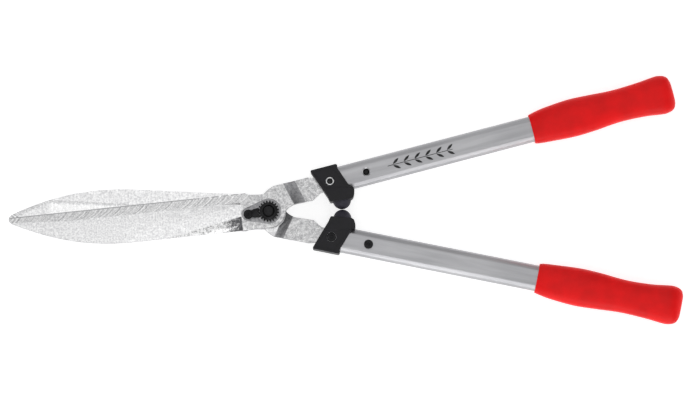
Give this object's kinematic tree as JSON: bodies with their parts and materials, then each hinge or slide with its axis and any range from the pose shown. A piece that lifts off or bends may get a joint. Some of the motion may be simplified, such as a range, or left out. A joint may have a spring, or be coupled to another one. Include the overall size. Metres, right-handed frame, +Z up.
{
  "type": "hedge shears",
  "caption": "Hand hedge shears with serrated steel blades on an adjustable pivot, rubber buffers, aluminium tube handles and red grips.",
  "frame": {"origin": "centre of the pivot bolt's flat hexagon head, on its underside, on the pivot axis", "axes": "+X from the pivot to the handles along the line that the shut halves mirror each other about, +Y towards the right hand's handle, +Z up along the pivot through the adjusting nut"},
  "size_m": [0.6301, 0.235, 0.0247],
  "materials": {
    "ground_steel": "ground and lacquered forged steel, satin",
    "black_steel": "black oxide steel, semi-matt",
    "zinc": "zinc plated steel, satin",
    "aluminium": "anodised extruded aluminium, satin",
    "collar_plastic": "moulded black plastic, fine grain",
    "packer_plastic": "moulded dark plastic, matt",
    "buffer_rubber": "black rubber, matt",
    "grip_vinyl": "dipped soft red vinyl, satin"
  },
  "bodies": {
    "right_half": {"top_blade": "ground_steel", "pivot_bolt": "black_steel", "pivot_washer": "zinc", "adjusting_nut": "black_steel", "nut_lock": "black_steel", "lock_screw": "black_steel", "right_collar": "collar_plastic", "right_tube": "aluminium", "right_packer": "packer_plastic", "right_grip": "grip_vinyl", "right_front_screw": "black_steel", "right_rear_screw": "black_steel", "right_front_nut": "zinc", "right_rear_nut": "black_steel"},
    "left_half": {"bottom_blade": "ground_steel", "left_collar": "collar_plastic", "left_tube": "aluminium", "left_packer": "packer_plastic", "left_grip": "grip_vinyl", "left_front_screw": "black_steel", "left_rear_screw": "black_steel", "left_front_nut": "zinc", "left_rear_nut": "black_steel"},
    "right_buffer": {"right_buffer": "buffer_rubber"},
    "left_buffer": {"left_buffer": "buffer_rubber"}
  },
  "joints": [
    {"name": "pivot", "type": "hinge", "parent": "right_half", "child": "left_half", "pos_m": [0, 0, 0], "axis": [0, 0, -1], "range_deg": [0, 55]},
    {"name": "right_buffer_press", "type": "slide", "parent": "right_half", "child": "right_buffer", "axis": [0, 1, 0], "range_m": [0, 0.0015], "stiffness_N_per_m": 8000},
    {"name": "left_buffer_press", "type": "slide", "parent": "left_half", "child": "left_buffer", "axis": [0, -1, 0], "range_m": [0, 0.0015], "stiffness_N_per_m": 8000}
  ]
}
